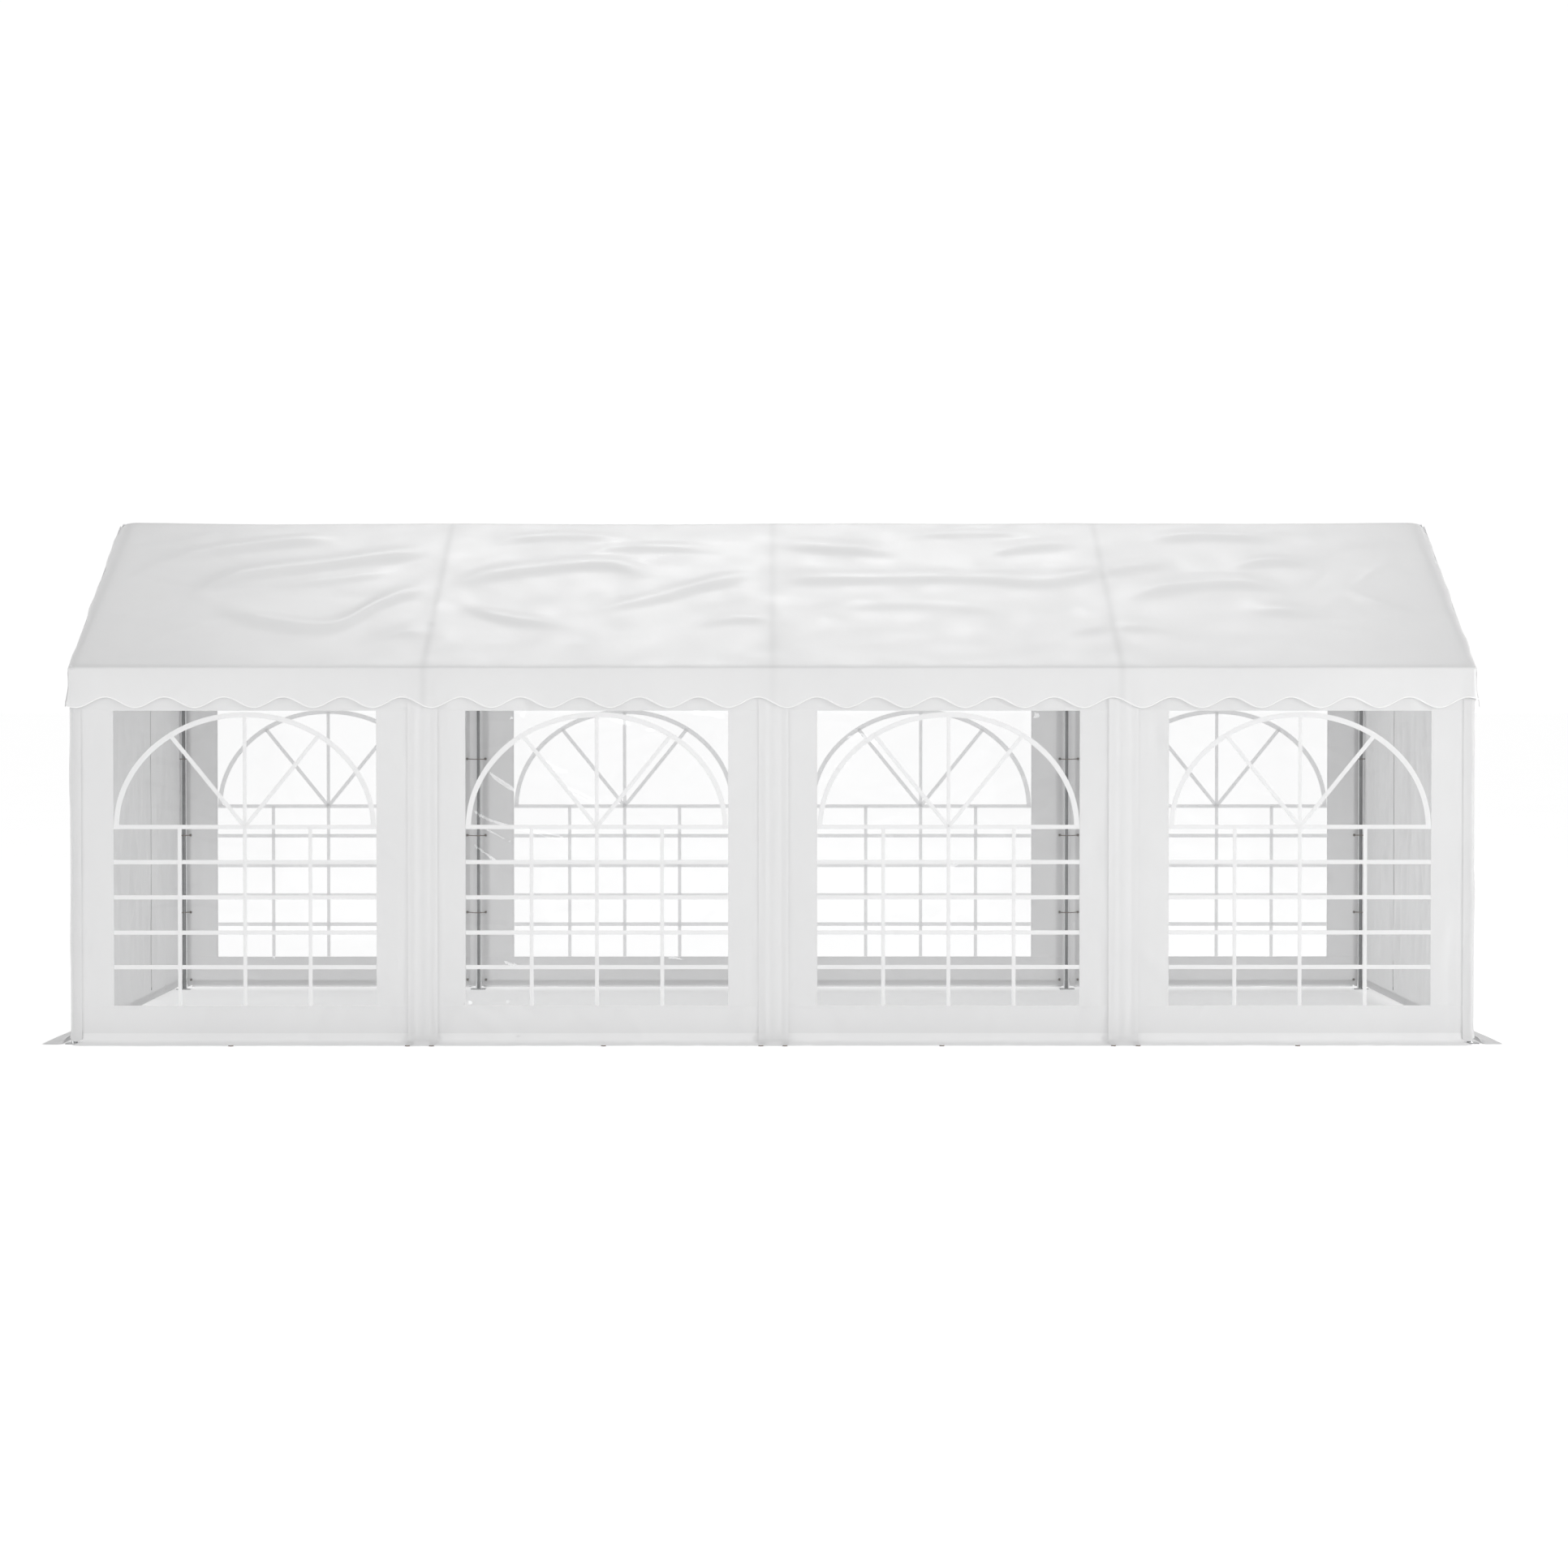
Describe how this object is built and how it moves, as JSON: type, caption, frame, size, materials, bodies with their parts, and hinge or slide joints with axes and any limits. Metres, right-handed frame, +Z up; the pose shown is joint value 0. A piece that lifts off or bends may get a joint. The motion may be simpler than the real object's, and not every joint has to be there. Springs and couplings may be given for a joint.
{
  "type": "marquee tent",
  "caption": "Rectangular marquee tent: tube frame, gabled cover with scalloped valance, arched window walls on both long sides, and a zipped door in each end wall.",
  "frame": {"origin": "on the ground at the middle of the plan", "axes": "+X along the ridge to the right as seen from the front, +Y from front to back, +Z up"},
  "size_m": [8.3186, 4.3146, 3.0543],
  "materials": {
    "steel": "bright galvanised steel tube, satin",
    "roof_cloth": "white coated fabric, matt with a faint weave",
    "wall_cloth": "white coated fabric, thinner than the roof's, slightly translucent",
    "window_film": "clear flexible film, glossy"
  },
  "bodies": {
    "root": {"post_front_1": "steel", "post_front_2": "steel", "post_front_3": "steel", "post_front_4": "steel", "post_front_5": "steel", "post_back_1": "steel", "post_back_2": "steel", "post_back_3": "steel", "post_back_4": "steel", "post_back_5": "steel", "rafter_front_1": "steel", "rafter_front_2": "steel", "rafter_front_3": "steel", "rafter_front_4": "steel", "rafter_front_5": "steel", "rafter_back_1": "steel", "rafter_back_2": "steel", "rafter_back_3": "steel", "rafter_back_4": "steel", "rafter_back_5": "steel", "ridge_tube": "steel", "eave_tube_front": "steel", "eave_tube_back": "steel", "gable_bar_left": "steel", "gable_bar_right": "steel", "roof_cover": "roof_cloth", "valance_front": "roof_cloth", "valance_back": "roof_cloth", "gable_left": "roof_cloth", "gable_right": "roof_cloth", "wall_front_1": "wall_cloth", "wall_front_2": "wall_cloth", "wall_front_3": "wall_cloth", "wall_front_4": "wall_cloth", "wall_back_1": "wall_cloth", "wall_back_2": "wall_cloth", "wall_back_3": "wall_cloth", "wall_back_4": "wall_cloth", "window_front_1": "window_film", "window_front_2": "window_film", "window_front_3": "window_film", "window_front_4": "window_film", "window_back_1": "window_film", "window_back_2": "window_film", "window_back_3": "window_film", "window_back_4": "window_film", "end_wall_left": "wall_cloth", "end_wall_right": "wall_cloth", "door_left": "wall_cloth", "door_right": "wall_cloth"}
  },
  "joints": []
}
